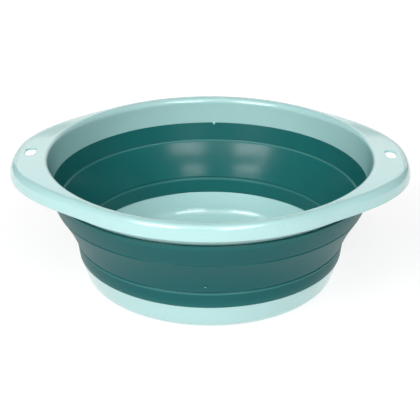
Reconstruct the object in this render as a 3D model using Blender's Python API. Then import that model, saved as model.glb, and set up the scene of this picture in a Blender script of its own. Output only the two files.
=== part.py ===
"""A collapsible washbasin: a rigid rim with two handle wings, a rubber wall that folds, and a rigid base.

The rim and the base are stiff mouldings. The rubber wall between them is one moulding on the real
basin, and is kept here as three thick bands and the two thin hinge lines between them, because the
lower band stays with the base, the upper band stays with the rim, and the middle band turns inside
out between its two hinge lines when the rim is pushed down.

Metres, +Z up. The origin is the middle of the ring that the basin stands on.
"""

import math

import bmesh
import bpy
from mathutils import Vector

# Counts
SEGMENTS = 72
FILLET_STEPS = 6
BOW_STEPS = 4
CREST_STEPS = 4
ROLL_STEPS = 6
SLOT_END_STEPS = 6

# Base: outside shape
BASE_BOTTOM_RADIUS = 0.1160
BASE_FILLET_RADIUS = 0.0165
BASE_HEIGHT = 0.0278
BASE_LEAN = math.radians(17.0)
BASE_WALL = 0.0022
# Base: the ring it stands on, and the floor that is raised inside it
FOOT_WIDTH = 0.0065
FLOOR_RISE = 0.0018
FLOOR_STEP_WIDTH = 0.0030

# Rubber wall, with its thickness measured level
LOWER_BAND_HEIGHT = 0.0179
LOWER_BAND_FLARE = 0.0020
MIDDLE_BAND_HEIGHT = 0.0388
MIDDLE_BAND_FLARE = 0.0196
MIDDLE_BAND_BOW = 0.0013
UPPER_BAND_HEIGHT = 0.0191
UPPER_BAND_FLARE = 0.0062
BAND_WALL = 0.0036
BAND_EDGE_CHAMFER = 0.0007
HINGE_WEB_WALL = 0.0014
HINGE_WEB_HEIGHT = 0.0030
LIP_STEP = 0.0004
LIP_CHAMFER = 0.0003
COLLAR_LAP_WALL = 0.0026
COLLAR_LAP_HEIGHT = 0.0053
COLLAR_LAP_CHAMFER = 0.0008

# Tongues of the rim and the base that the rubber is moulded round
TONGUE_WALL = 0.0010
TONGUE_HEIGHT = 0.0060
JOIN_CLEARANCE = 0.0003

# Rim, all the way round
COLLAR_HEIGHT = 0.0290
COLLAR_WALL = 0.0024
FLANGE_WALL = 0.0024
SKIRT_FLARE = math.radians(4.0)
# Rim in front and at the back, where its land is so narrow that crest and roll make one arch
COLLAR_LEAN = math.radians(0.5)
CREST_RADIUS = 0.0063
LAND_WIDTH = 0.0008
LAND_DROP = 0.0001
ROLL_RADIUS = 0.0063
RIM_DEPTH = 0.0161
# The same sizes at the middle of a handle wing
WING_COLLAR_LEAN = math.radians(8.0)
WING_CREST_RADIUS = 0.0033
WING_LAND_WIDTH = 0.0243
WING_LAND_DROP = 0.0016
WING_ROLL_RADIUS = 0.0102
WING_RIM_DEPTH = 0.0174

# Handle wings: over which angles from the X axis they grow, and their hanging slots
WING_FULL_ANGLE = math.radians(5.0)
WING_END_ANGLE = math.radians(51.5)
HANG_SLOT_WIDTH = 0.0110
HANG_SLOT_LENGTH = 0.0200
HANG_SLOT_INSET = 0.0088
CUT_OVERRUN = 0.0050

SMOOTH_ANGLE = math.radians(35.0)
MERGE_DISTANCE = 0.00001

AQUA_COLOUR = (0.43, 0.73, 0.70, 1.0)
AQUA_ROUGHNESS = 0.28
TEAL_COLOUR = (0.025, 0.145, 0.138, 1.0)
TEAL_ROUGHNESS = 0.42

# Heights of the seams and hinge lines, from the ground up
BASE_SEAM_Z = BASE_HEIGHT
LOWER_HINGE_Z = BASE_SEAM_Z + LOWER_BAND_HEIGHT
UPPER_HINGE_Z = LOWER_HINGE_Z + MIDDLE_BAND_HEIGHT
COLLAR_SEAM_Z = UPPER_HINGE_Z + UPPER_BAND_HEIGHT
RIM_TOP_Z = COLLAR_SEAM_Z + COLLAR_HEIGHT

# Radii of the wall's middle line, from the base outwards
BASE_WALL_LEVEL = BASE_WALL / math.cos(BASE_LEAN)
BASE_TANGENT_Z = BASE_FILLET_RADIUS * (1 - math.sin(BASE_LEAN))
BASE_TANGENT_RADIUS = BASE_BOTTOM_RADIUS + BASE_FILLET_RADIUS * math.cos(BASE_LEAN)
BASE_SEAM_OUTER = BASE_TANGENT_RADIUS + (BASE_SEAM_Z - BASE_TANGENT_Z) * math.tan(BASE_LEAN)
BASE_SEAM_MIDDLE = BASE_SEAM_OUTER - BASE_WALL_LEVEL / 2
LOWER_HINGE_RADIUS = BASE_SEAM_MIDDLE + LOWER_BAND_FLARE
UPPER_HINGE_RADIUS = LOWER_HINGE_RADIUS + MIDDLE_BAND_FLARE
COLLAR_SEAM_INNER = UPPER_HINGE_RADIUS - BAND_WALL / 2 + UPPER_BAND_FLARE

# The collar's foot, with the leaning face that the rubber laps up
COLLAR_WALL_LEVEL = COLLAR_WALL / math.cos(WING_COLLAR_LEAN)
COLLAR_SEAM_MIDDLE = COLLAR_SEAM_INNER + COLLAR_WALL_LEVEL / 2
COLLAR_SEAM_OUTER = COLLAR_SEAM_INNER + COLLAR_WALL_LEVEL
COLLAR_LAP_Z = COLLAR_SEAM_Z + COLLAR_LAP_HEIGHT
COLLAR_LAP_SHIFT = COLLAR_LAP_HEIGHT * math.tan(WING_COLLAR_LEAN)


def clear_scene():
    """Remove whatever the scene holds."""
    for thing in list(bpy.data.objects):
        bpy.data.objects.remove(thing)


def plastic(name, colour, roughness):
    """A Principled material of one colour."""
    material = bpy.data.materials.new(name)
    material.use_nodes = True
    shader = material.node_tree.nodes["Principled BSDF"]
    shader.inputs["Base Color"].default_value = colour
    shader.inputs["Roughness"].default_value = roughness
    shader.inputs["Metallic"].default_value = 0.0
    material.diffuse_color = colour
    return material


def arc(centre, radius, start, end, steps):
    """Points (radius, height) on a circular arc of a section, both ends included."""
    angles = [start + (end - start) * step / steps for step in range(steps + 1)]
    return [(centre[0] + radius * math.cos(a), centre[1] + radius * math.sin(a)) for a in angles]


def between(low, high, height):
    """The radius at a height on the straight line between two section points."""
    share = (height - low[1]) / (high[1] - low[1])
    return low[0] + (high[0] - low[0]) * share


def turned(name, section, material, closed=True):
    """An object turned round the Z axis from a section of (radius, height) points."""
    work = bmesh.new()
    points = [work.verts.new((radius, 0, height)) for radius, height in section]
    edges = [work.edges.new(pair) for pair in zip(points, points[1:])]
    if closed:
        edges.append(work.edges.new((points[-1], points[0])))
    bmesh.ops.spin(
        work, geom=points + edges, cent=Vector(), axis=Vector((0, 0, 1)),
        angle=2 * math.pi, steps=SEGMENTS, use_merge=True,
    )
    bmesh.ops.remove_doubles(work, verts=work.verts, dist=MERGE_DISTANCE)
    bmesh.ops.recalc_face_normals(work, faces=work.faces)
    return finished(name, work, material)


def finished(name, work, material):
    """An object from a finished bmesh, smooth where its faces meet gently."""
    mesh = bpy.data.meshes.new(name)
    work.to_mesh(mesh)
    work.free()
    mesh.shade_smooth()
    mesh.set_sharp_from_angle(angle=SMOOTH_ANGLE)
    mesh.materials.append(material)
    thing = bpy.data.objects.new(name, mesh)
    bpy.context.collection.objects.link(thing)
    return thing


def base_tongue(height, clearance=0.0):
    """(inner, outer) radius of the base's tongue, which runs up the middle of the lower band."""
    low = (BASE_SEAM_MIDDLE, BASE_SEAM_Z)
    high = (LOWER_HINGE_RADIUS, LOWER_HINGE_Z)
    middle = between(low, high, height)
    half = TONGUE_WALL / 2 + clearance
    return middle - half, middle + half


def rim_tongue(height, clearance=0.0):
    """(inner, outer) radius of the rim's tongue, which runs down beside the upper band's inner face."""
    slope = UPPER_BAND_FLARE / UPPER_BAND_HEIGHT
    middle = COLLAR_SEAM_MIDDLE - (COLLAR_SEAM_Z - height) * slope
    half = TONGUE_WALL / 2 + clearance
    return middle - half, middle + half


def base_bowl(material):
    """The rigid base: raised floor, foot ring, rounded side and the tongue that the wall is moulded on."""
    centre = (BASE_BOTTOM_RADIUS, BASE_FILLET_RADIUS)
    lean_angle = -BASE_LEAN
    inner_fillet = arc(centre, BASE_FILLET_RADIUS - BASE_WALL, -math.pi / 2, lean_angle, FILLET_STEPS)
    outer_fillet = arc(centre, BASE_FILLET_RADIUS, lean_angle, -math.pi / 2, FILLET_STEPS)
    foot_inner = BASE_BOTTOM_RADIUS - FOOT_WIDTH
    floor_edge = foot_inner - FLOOR_STEP_WIDTH
    tongue_top = BASE_SEAM_Z + TONGUE_HEIGHT
    section = [(0, FLOOR_RISE + BASE_WALL), (floor_edge, FLOOR_RISE + BASE_WALL), (foot_inner, BASE_WALL)]
    section += inner_fillet
    section += [
        (BASE_SEAM_OUTER - BASE_WALL_LEVEL, BASE_SEAM_Z),
        (base_tongue(BASE_SEAM_Z)[0], BASE_SEAM_Z),
        (base_tongue(tongue_top)[0], tongue_top),
        (base_tongue(tongue_top)[1], tongue_top),
        (base_tongue(BASE_SEAM_Z)[1], BASE_SEAM_Z),
        (BASE_SEAM_OUTER, BASE_SEAM_Z),
    ]
    section += outer_fillet
    section += [(foot_inner, 0), (floor_edge, FLOOR_RISE), (0, FLOOR_RISE)]
    return turned("base_bowl", section, material, closed=False)


def lower_band(material):
    """The band that stays with the base, slotted underneath for the base's tongue."""
    seam = BASE_SEAM_Z + JOIN_CLEARANCE
    top = LOWER_HINGE_Z - HINGE_WEB_HEIGHT / 2
    inner_low = (BASE_SEAM_OUTER - BASE_WALL_LEVEL - LIP_STEP, seam)
    outer_low = (BASE_SEAM_OUTER + LIP_STEP, seam)
    inner_high = (LOWER_HINGE_RADIUS - BAND_WALL / 2, top)
    outer_high = (LOWER_HINGE_RADIUS + BAND_WALL / 2, top)
    slot_top = BASE_SEAM_Z + TONGUE_HEIGHT + JOIN_CLEARANCE
    lip = seam + LIP_CHAMFER
    edge = top - BAND_EDGE_CHAMFER
    section = [
        (base_tongue(seam, JOIN_CLEARANCE)[0], seam),
        (inner_low[0] + LIP_CHAMFER, seam),
        (inner_low[0], lip),
        (inner_high[0], edge),
        (inner_high[0] + BAND_EDGE_CHAMFER, top),
        (outer_high[0] - BAND_EDGE_CHAMFER, top),
        (outer_high[0], edge),
        (outer_low[0], lip),
        (outer_low[0] - LIP_CHAMFER, seam),
        (base_tongue(seam, JOIN_CLEARANCE)[1], seam),
        (base_tongue(slot_top, JOIN_CLEARANCE)[1], slot_top),
        (base_tongue(slot_top, JOIN_CLEARANCE)[0], slot_top),
    ]
    return turned("fold_lower_band", section, material)


def middle_band(material):
    """The widest band, bowed slightly inwards, which turns inside out when the basin folds flat."""
    hinges = ((LOWER_HINGE_RADIUS, LOWER_HINGE_Z), (UPPER_HINGE_RADIUS, UPPER_HINGE_Z))
    low_z = LOWER_HINGE_Z + HINGE_WEB_HEIGHT / 2
    high_z = UPPER_HINGE_Z - HINGE_WEB_HEIGHT / 2
    low_edge_z = low_z + BAND_EDGE_CHAMFER
    high_edge_z = high_z - BAND_EDGE_CHAMFER
    middles = []
    for step in range(BOW_STEPS + 1):
        share = step / BOW_STEPS
        height = low_edge_z + (high_edge_z - low_edge_z) * share
        bow = MIDDLE_BAND_BOW * math.sin(math.pi * share)
        middles.append((between(*hinges, height) - bow, height))
    half = BAND_WALL / 2
    edge_half = half - BAND_EDGE_CHAMFER
    section = [(between(*hinges, low_z) - edge_half, low_z)]
    section += [(radius - half, height) for radius, height in middles]
    section += [(between(*hinges, high_z) - edge_half, high_z)]
    section += [(between(*hinges, high_z) + edge_half, high_z)]
    section += [(radius + half, height) for radius, height in reversed(middles)]
    section += [(between(*hinges, low_z) + edge_half, low_z)]
    return turned("fold_middle_band", section, material)


def upper_band(material):
    """The band that stays with the rim, slotted for its tongue and lapped up the outside of its collar."""
    seam = COLLAR_SEAM_Z - JOIN_CLEARANCE
    bottom = UPPER_HINGE_Z + HINGE_WEB_HEIGHT / 2
    edge = bottom + BAND_EDGE_CHAMFER
    inner_low = UPPER_HINGE_RADIUS - BAND_WALL / 2
    outer_low = UPPER_HINGE_RADIUS + BAND_WALL / 2
    inner_high = COLLAR_SEAM_INNER - LIP_STEP
    collar_face = COLLAR_SEAM_OUTER + JOIN_CLEARANCE
    collar_face_high = collar_face + COLLAR_LAP_SHIFT
    lap_outer = collar_face + COLLAR_LAP_WALL
    lap_outer_high = collar_face_high + COLLAR_LAP_WALL
    slot_bottom = COLLAR_SEAM_Z - TONGUE_HEIGHT - JOIN_CLEARANCE
    lip = seam - LIP_CHAMFER
    section = [
        (inner_low + BAND_EDGE_CHAMFER, bottom),
        (outer_low - BAND_EDGE_CHAMFER, bottom),
        (outer_low, edge),
        (lap_outer, seam),
        (lap_outer_high, COLLAR_LAP_Z - COLLAR_LAP_CHAMFER),
        (lap_outer_high - COLLAR_LAP_CHAMFER, COLLAR_LAP_Z),
        (collar_face_high, COLLAR_LAP_Z),
        (collar_face, seam),
        (rim_tongue(seam, JOIN_CLEARANCE)[1], seam),
        (rim_tongue(slot_bottom, JOIN_CLEARANCE)[1], slot_bottom),
        (rim_tongue(slot_bottom, JOIN_CLEARANCE)[0], slot_bottom),
        (rim_tongue(seam, JOIN_CLEARANCE)[0], seam),
        (inner_high + LIP_CHAMFER, seam),
        (inner_high, lip),
        (inner_low, edge),
    ]
    return turned("fold_upper_band", section, material)


def hinge_web(name, radius, height, lean, material):
    """A thin hinge line: the ring of thin rubber between two thick bands."""
    half_wall = HINGE_WEB_WALL / 2
    half_height = HINGE_WEB_HEIGHT / 2 - JOIN_CLEARANCE
    shift = half_height * lean
    section = [
        (radius - shift - half_wall, height - half_height),
        (radius - shift + half_wall, height - half_height),
        (radius + half_wall, height),
        (radius + shift + half_wall, height + half_height),
        (radius + shift - half_wall, height + half_height),
        (radius - half_wall, height),
    ]
    return turned(name, section, material)


def wing_share(angle):
    """How much of a wing the rim has at an angle round the Z axis, from 0 to 1 at the wing's middle."""
    from_x_axis = math.atan2(abs(math.sin(angle)), abs(math.cos(angle)))
    share = (WING_END_ANGLE - from_x_axis) / (WING_END_ANGLE - WING_FULL_ANGLE)
    share = min(1, max(0, share))
    return share * share * (3 - 2 * share)


def towards(plain, wing, share):
    """A size that has gone by a share from its value on the plain rim to its value on a wing."""
    return plain + (wing - plain) * share


def crest_circle(share):
    """(centre radius, centre height, radius) of the crest, which is tangent to the collar's inner face."""
    radius = towards(CREST_RADIUS, WING_CREST_RADIUS, share)
    lean = towards(COLLAR_LEAN, WING_COLLAR_LEAN, share)
    centre_z = RIM_TOP_Z - radius
    tangent_z = centre_z + radius * math.sin(lean)
    tangent_radius = COLLAR_SEAM_INNER + (tangent_z - COLLAR_SEAM_Z) * math.tan(lean)
    return tangent_radius + radius * math.cos(lean), centre_z, radius


def roll_circle(share):
    """(centre radius, centre height, radius) of the roll at the land's outer side."""
    radius = towards(ROLL_RADIUS, WING_ROLL_RADIUS, share)
    centre_radius = crest_circle(share)[0] + towards(LAND_WIDTH, WING_LAND_WIDTH, share)
    return centre_radius, RIM_TOP_Z - towards(LAND_DROP, WING_LAND_DROP, share) - radius, radius


def land_fall(crest, roll):
    """The angle at which the land falls from the crest's circle to the roll's."""
    across, down = roll[0] - crest[0], crest[1] - roll[1]
    return math.acos((roll[2] - crest[2]) / math.hypot(across, down)) - math.atan2(across, down)


def rim_section(share):
    """The rim's section where it has a share of a wing."""
    crest, roll = crest_circle(share), roll_circle(share)
    top_angle = math.pi / 2 - land_fall(crest, roll)
    inner_angle = math.pi - towards(COLLAR_LEAN, WING_COLLAR_LEAN, share)
    crest_outside = arc(crest[:2], crest[2], inner_angle, top_angle, CREST_STEPS)
    crest_inside = arc(crest[:2], crest[2] - FLANGE_WALL, top_angle, inner_angle, CREST_STEPS)
    roll_outside = arc(roll[:2], roll[2], top_angle, SKIRT_FLARE, ROLL_STEPS)
    roll_inside = arc(roll[:2], roll[2] - FLANGE_WALL, SKIRT_FLARE, top_angle, ROLL_STEPS)
    skirt_radius, skirt_z = roll_outside[-1]
    bottom_z = RIM_TOP_Z - towards(RIM_DEPTH, WING_RIM_DEPTH, share)
    bottom_radius = skirt_radius + (skirt_z - bottom_z) * math.tan(SKIRT_FLARE)
    tongue_low = COLLAR_SEAM_Z - TONGUE_HEIGHT
    return [
        (COLLAR_SEAM_INNER, COLLAR_SEAM_Z),
        *crest_outside,
        *roll_outside,
        (bottom_radius, bottom_z),
        (bottom_radius - FLANGE_WALL / math.cos(SKIRT_FLARE), bottom_z),
        *roll_inside,
        *crest_inside,
        (COLLAR_SEAM_OUTER + COLLAR_LAP_SHIFT, COLLAR_LAP_Z),
        (COLLAR_SEAM_OUTER, COLLAR_SEAM_Z),
        (rim_tongue(COLLAR_SEAM_Z)[1], COLLAR_SEAM_Z),
        (rim_tongue(tongue_low)[1], tongue_low),
        (rim_tongue(tongue_low)[0], tongue_low),
        (rim_tongue(COLLAR_SEAM_Z)[0], COLLAR_SEAM_Z),
    ]


def lofted_rim(material):
    """The rim without its slots: one closed ring of faces through the sections at every angle."""
    work = bmesh.new()
    loops = []
    for segment in range(SEGMENTS):
        angle = 2 * math.pi * segment / SEGMENTS
        section = rim_section(wing_share(angle))
        loops.append([work.verts.new((r * math.cos(angle), r * math.sin(angle), z)) for r, z in section])
    for loop, following in zip(loops, loops[1:] + loops[:1]):
        for place, point in enumerate(loop):
            work.faces.new((point, loop[place - 1], following[place - 1], following[place]))
    bmesh.ops.recalc_face_normals(work, faces=work.faces)
    return finished("rim_frame", work, material)


def hang_slot_cutter(side):
    """A cutter for one wing's hanging slot, a round-ended prism along Y."""
    half_straight = (HANG_SLOT_LENGTH - HANG_SLOT_WIDTH) / 2
    end_radius = HANG_SLOT_WIDTH / 2
    turn = math.pi / SLOT_END_STEPS
    far_end = [(step * turn, half_straight) for step in range(SLOT_END_STEPS + 1)]
    near_end = [(math.pi + step * turn, -half_straight) for step in range(SLOT_END_STEPS + 1)]
    work = bmesh.new()
    middle = side * (roll_circle(1)[0] - HANG_SLOT_INSET)
    low = RIM_TOP_Z - WING_RIM_DEPTH - CUT_OVERRUN
    outline = [
        work.verts.new((middle + end_radius * math.cos(angle), shift + end_radius * math.sin(angle), low))
        for angle, shift in far_end + near_end
    ]
    face = work.faces.new(outline)
    top = bmesh.ops.extrude_face_region(work, geom=[face])
    raised = [piece for piece in top["geom"] if isinstance(piece, bmesh.types.BMVert)]
    bmesh.ops.translate(work, verts=raised, vec=Vector((0, 0, RIM_TOP_Z - low + CUT_OVERRUN)))
    bmesh.ops.recalc_face_normals(work, faces=work.faces)
    mesh = bpy.data.meshes.new("hang_slot_cutter")
    work.to_mesh(mesh)
    work.free()
    cutter = bpy.data.objects.new("hang_slot_cutter", mesh)
    cutter.hide_render = True
    cutter.display_type = "WIRE"
    bpy.context.collection.objects.link(cutter)
    return cutter


def rim_frame(material):
    """The rigid rim: tongue, collar, crest, flange with two wings, rolled edge and hanging slots."""
    rim = lofted_rim(material)
    for side in (-1, 1):
        cut = rim.modifiers.new("hang_slot", "BOOLEAN")
        cut.operation = "DIFFERENCE"
        cut.object = hang_slot_cutter(side)
    return rim


def build():
    """Make the whole basin."""
    clear_scene()
    aqua = plastic("aqua_plastic", AQUA_COLOUR, AQUA_ROUGHNESS)
    teal = plastic("teal_rubber", TEAL_COLOUR, TEAL_ROUGHNESS)
    base_bowl(aqua)
    lower_band(teal)
    middle_lean = MIDDLE_BAND_FLARE / MIDDLE_BAND_HEIGHT
    hinge_web("fold_lower_hinge", LOWER_HINGE_RADIUS, LOWER_HINGE_Z, middle_lean, teal)
    middle_band(teal)
    hinge_web("fold_upper_hinge", UPPER_HINGE_RADIUS, UPPER_HINGE_Z, middle_lean, teal)
    upper_band(teal)
    rim_frame(aqua)


build()
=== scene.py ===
"""Looks of the collapsible washbasin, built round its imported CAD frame.

The rim, the base and the folding rubber wall are modelled as fine meshes from the part's own sizes.
Metres, +Z up, and the origin is the middle of the ring that the basin stands on.
"""

import logging
import math
from dataclasses import astuple, dataclass, field
from enum import Enum
from typing import Iterable, Sequence, Union

import bmesh
import bpy
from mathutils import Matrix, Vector


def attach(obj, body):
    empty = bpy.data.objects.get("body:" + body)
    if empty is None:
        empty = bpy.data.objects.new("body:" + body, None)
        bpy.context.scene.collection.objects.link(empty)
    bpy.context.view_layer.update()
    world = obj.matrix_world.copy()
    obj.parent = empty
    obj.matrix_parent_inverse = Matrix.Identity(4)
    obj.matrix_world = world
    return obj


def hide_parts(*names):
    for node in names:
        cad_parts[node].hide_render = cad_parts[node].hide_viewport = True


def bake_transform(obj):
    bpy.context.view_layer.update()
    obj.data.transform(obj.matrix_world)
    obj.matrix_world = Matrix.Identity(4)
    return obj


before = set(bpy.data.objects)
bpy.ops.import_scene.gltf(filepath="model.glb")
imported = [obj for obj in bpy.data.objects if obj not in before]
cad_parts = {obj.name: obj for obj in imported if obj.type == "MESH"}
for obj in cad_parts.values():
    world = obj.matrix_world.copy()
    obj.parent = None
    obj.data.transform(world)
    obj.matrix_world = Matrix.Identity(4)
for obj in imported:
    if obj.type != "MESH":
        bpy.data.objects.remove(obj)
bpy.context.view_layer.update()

LOG = logging.getLogger("washbasin")
REST_PLACE = "rest_place"
QUARTER = math.pi / 2
FULL_TURN = 2 * math.pi
HARD_EDGE = math.radians(35)
# Half the angle from which a corner counts as straight and takes no fillet
STRAIGHT_HALF = math.radians(89)
# The widest turn of one chord of a fillet
FILLET_TURN = math.radians(12)
# The largest share of a corner's shorter side that a fillet takes up
FILLET_SIDE_SHARE = 0.48
FILLET_LEAST_STEPS = 2

Point = tuple[float, float]
Span = tuple[float, float]
Triple = tuple[float, float, float]
Block = tuple[int, int]
Section = list[Point]
Row = list[bmesh.types.BMVert]


class Slot(Enum):
    """The record's material slots."""

    PLASTIC = "aqua_plastic"
    RUBBER = "teal_rubber"


class Body(Enum):
    """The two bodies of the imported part."""

    BASE = "base"
    RIM = "rim"


class Face(Enum):
    """The two faces of the rubber wall, as the sign of their distance from its middle."""

    INNER = -1
    OUTER = 1


# Sections and meshes


def arc(centre: Point, radius: float, start: float, end: float, steps: int) -> Section:
    """Points on a circular arc of a section, both ends included.

    Args:
        centre: Radius and height of the arc's centre.
        radius: The arc's radius.
        start: Angle of its first point, from the outward direction towards up.
        end: Angle of its last point.
        steps: How many chords it has.

    Returns:
        The points, as radius and height.
    """
    angles = [start + (end - start) * step / steps for step in range(steps + 1)]
    return [(centre[0] + radius * math.cos(a), centre[1] + radius * math.sin(a)) for a in angles]


def run(start: Point, end: Point, pieces: int) -> Section:
    """Points on a straight run of a section, without its first and last.

    Args:
        start: The point before the run.
        end: The point after it.
        pieces: How many equal lengths the run is cut into.

    Returns:
        The points between the two ends.
    """
    shares = [piece / pieces for piece in range(1, pieces)]
    return [(start[0] + (end[0] - start[0]) * s, start[1] + (end[1] - start[1]) * s) for s in shares]


def fillet(before: Point, corner: Point, after: Point, radius: float, step_length: float) -> Section:
    """The arc that rounds a corner of a section.

    Args:
        before: The point before the corner.
        corner: The corner itself.
        after: The point after it.
        radius: The fillet's radius, made smaller where the sides are too short.
        step_length: The longest chord.

    Returns:
        The arc's points, or the corner alone where there is no fillet or no bend.
    """
    here = Vector(corner)
    back, ahead = Vector(before) - here, Vector(after) - here
    half = back.angle(ahead) / 2
    if radius <= 0 or half > STRAIGHT_HALF:
        return [corner]
    reach = min(radius / math.tan(half), FILLET_SIDE_SHARE * min(back.length, ahead.length))
    centre = here + (back.normalized() + ahead.normalized()).normalized() * (reach / math.cos(half))
    start = here + back.normalized() * reach - centre
    end = here + ahead.normalized() * reach - centre
    turn = math.pi - 2 * half
    chords = max(turn / FILLET_TURN, turn * start.length / step_length)
    steps = max(math.ceil(chords), FILLET_LEAST_STEPS)
    points = []
    for step in range(steps + 1):
        angle = turn * step / steps
        spoke = (start * math.sin(turn - angle) + end * math.sin(angle)) / math.sin(turn)
        points.append(tuple(centre + spoke))
    return points


def rounded(corners: Sequence[Triple], step_length: float, closed: bool = True) -> Section:
    """A section through corners that each have a fillet, with its long sides cut into short lengths.

    Args:
        corners: Radius, height and fillet radius of each corner.
        step_length: The longest side of the result.
        closed: Whether the last corner joins the first.

    Returns:
        The section's points.
    """
    places = [(radius, height) for radius, height, _ in corners]
    path: Section = []
    for place, (_, _, radius) in enumerate(corners):
        at_end = not closed and place in (0, len(corners) - 1)
        before, after = places[place - 1], places[(place + 1) % len(places)]
        path += [places[place]] if at_end else fillet(before, places[place], after, radius, step_length)
    following = path[1:] + path[:1] if closed else path[1:]
    spaced: Section = []
    for here, there in zip(path, following):
        length = math.dist(here, there)
        spaced += [here, *run(here, there, max(1, math.ceil(length / step_length)))]
    return spaced if closed else spaced + [path[-1]]


def placed(name: str, data: bpy.types.ID) -> bpy.types.Object:
    """Make an object of a mesh, a lamp or a camera.

    Args:
        name: The object's name.
        data: What it shows.

    Returns:
        The new object, linked to the scene.
    """
    item = bpy.data.objects.new(name, data)
    bpy.context.collection.objects.link(item)
    return item


@dataclass(frozen=True)
class Dome:
    """The sizes of a small dome, for a gate mark or a bit of flash.

    The stretch is its height along the wall as a share of its width.
    """

    radius: float
    height: float
    stretch: float = 1.0
    sides: int = 20
    rings: int = 5


class Skin:
    """A mesh in the making, from rows of points that go round the Z axis."""

    def __init__(self) -> None:
        """Start with nothing."""
        self.work = bmesh.new()

    def row(self, points: Iterable[Sequence[float]]) -> Row:
        """Add a row of points."""
        return [self.work.verts.new(point) for point in points]

    def face(self, corners: Sequence[bmesh.types.BMVert]) -> None:
        """Add one face."""
        self.work.faces.new(corners)

    def bridge(self, first: Row, second: Row) -> None:
        """Join two closed rows of equal length by a band of four-sided faces."""
        for place in range(len(first)):
            self.face((first[place - 1], first[place], second[place], second[place - 1]))

    def fan(self, row: Row, centre: Sequence[float]) -> None:
        """Close a row by triangles to a new point.

        Args:
            row: The closed row.
            centre: Where the new point lies.
        """
        middle = self.work.verts.new(centre)
        for place in range(len(row)):
            self.face((row[place - 1], row[place], middle))

    def turn(self, section: Section, segments: int, closed: bool = True) -> None:
        """Turn a section round the Z axis.

        Args:
            section: Points of radius and height. Where it isn't closed, its two ends lie on the axis.
            segments: How many steps a full turn has.
            closed: Whether the section is a closed loop.
        """
        angles = [FULL_TURN * segment / segments for segment in range(segments)]
        inner = section if closed else section[1:-1]
        rows = [self.row((r * math.cos(a), r * math.sin(a), z) for a in angles) for r, z in inner]
        for first, second in zip(rows, rows[1:] + rows[:1] if closed else rows[1:]):
            self.bridge(first, second)
        if not closed:
            self.fan(rows[0], (0, 0, section[0][1]))
            self.fan(rows[-1], (0, 0, section[-1][1]))

    def dome(self, foot: Vector, out: Vector, form: Dome) -> None:
        """Add a small closed dome that stands out of a surface.

        Args:
            foot: The middle of its foot, on the surface.
            out: The direction in which it stands out, one unit long.
            form: Its sizes.
        """
        along = out.cross(Vector((0, 0, 1))).normalized()
        up = along.cross(out).normalized() * form.stretch
        spokes = [FULL_TURN * side / form.sides for side in range(form.sides)]
        rows = []
        for ring in range(form.rings):
            tilt = QUARTER * ring / form.rings
            spread, rise = form.radius * math.cos(tilt), form.height * math.sin(tilt)
            rows.append(self.row(
                foot + out * rise + (along * math.cos(a) + up * math.sin(a)) * spread for a in spokes
            ))
        sunk = self.row(point.co - out * form.height for point in rows[0])
        for first, second in zip([sunk] + rows, rows):
            self.bridge(first, second)
        self.fan(rows[-1], foot + out * form.height)
        self.fan(sunk, foot - out * form.height)

    def finish(self, name: str) -> bpy.types.Object:
        """Turn the mesh into an object that is smooth but for its hard edges.

        Args:
            name: The piece's name.

        Returns:
            The new object, linked to the scene.
        """
        bmesh.ops.recalc_face_normals(self.work, faces=self.work.faces)
        mesh = bpy.data.meshes.new(name)
        self.work.to_mesh(mesh)
        self.work.free()
        mesh.shade_smooth()
        mesh.set_sharp_from_angle(angle=HARD_EDGE)
        return placed(name, mesh)


def keep_rest_place(piece: bpy.types.Object) -> None:
    """Store each point's place at rest on the mesh, so that a finish stays put when the wall folds.

    Args:
        piece: The object whose mesh takes the places.
    """
    store = piece.data.attributes.new(REST_PLACE, "FLOAT_VECTOR", "POINT")
    for point, value in zip(piece.data.vertices, store.data):
        value.vector = point.co


# Shader graph


class Signal:
    """The output of a node. Where it is a number, Python sums on it add Math nodes."""

    def __init__(self, graph: "Graph", socket: bpy.types.NodeSocket) -> None:
        """Wrap a socket."""
        self.graph = graph
        self.socket = socket

    def _sum(self, operation: str, *values: "Value") -> "Signal":
        """Add one Math node."""
        return self.graph.node("ShaderNodeMath", {"operation": operation}, dict(enumerate(values)))

    def __add__(self, other: "Value") -> "Signal":
        """Signal + other."""
        return self._sum("ADD", self, other)

    def __radd__(self, other: "Value") -> "Signal":
        """Other + signal."""
        return self._sum("ADD", other, self)

    def __sub__(self, other: "Value") -> "Signal":
        """Signal - other."""
        return self._sum("SUBTRACT", self, other)

    def __rsub__(self, other: "Value") -> "Signal":
        """Other - signal."""
        return self._sum("SUBTRACT", other, self)

    def __mul__(self, other: "Value") -> "Signal":
        """Signal * other."""
        return self._sum("MULTIPLY", self, other)

    def __rmul__(self, other: "Value") -> "Signal":
        """Other * signal."""
        return self._sum("MULTIPLY", other, self)

    def __abs__(self) -> "Signal":
        """The signal without its sign."""
        return self._sum("ABSOLUTE", self)

    def atan2(self, other: "Value") -> "Signal":
        """The angle whose tangent is the signal over another."""
        return self._sum("ARCTAN2", self, other)

    def at_least(self, low: float) -> "Signal":
        """The signal, or a number where that is higher."""
        return self._sum("MAXIMUM", self, low)

    def root(self) -> "Signal":
        """The square root."""
        return self._sum("SQRT", self)

    def swing(self, width: float) -> "Signal":
        """A noise from 0 to 1, as a swing of a total width about zero."""
        return (self - 0.5) * width

    def ramp(self, low: float, high: float) -> "Signal":
        """Rise smoothly from 0 to 1, or fall from 1 to 0 where low is above high.

        Args:
            low: The value at which the result is 0.
            high: The value at which it is 1.

        Returns:
            The result as a signal.
        """
        if low > high:
            return 1 - self.ramp(high, low)
        inputs = {"Value": self, "From Min": low, "From Max": high}
        return self.graph.node("ShaderNodeMapRange", {"interpolation_type": "SMOOTHSTEP"}, inputs)


Value = Union[Signal, float, Sequence[float]]


@dataclass(frozen=True)
class Noise:
    """A soft noise: waves to the metre, how many finer layers it has, and how strong they are."""

    scale: float
    detail: float = 2.0
    roughness: float = 0.5


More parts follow.
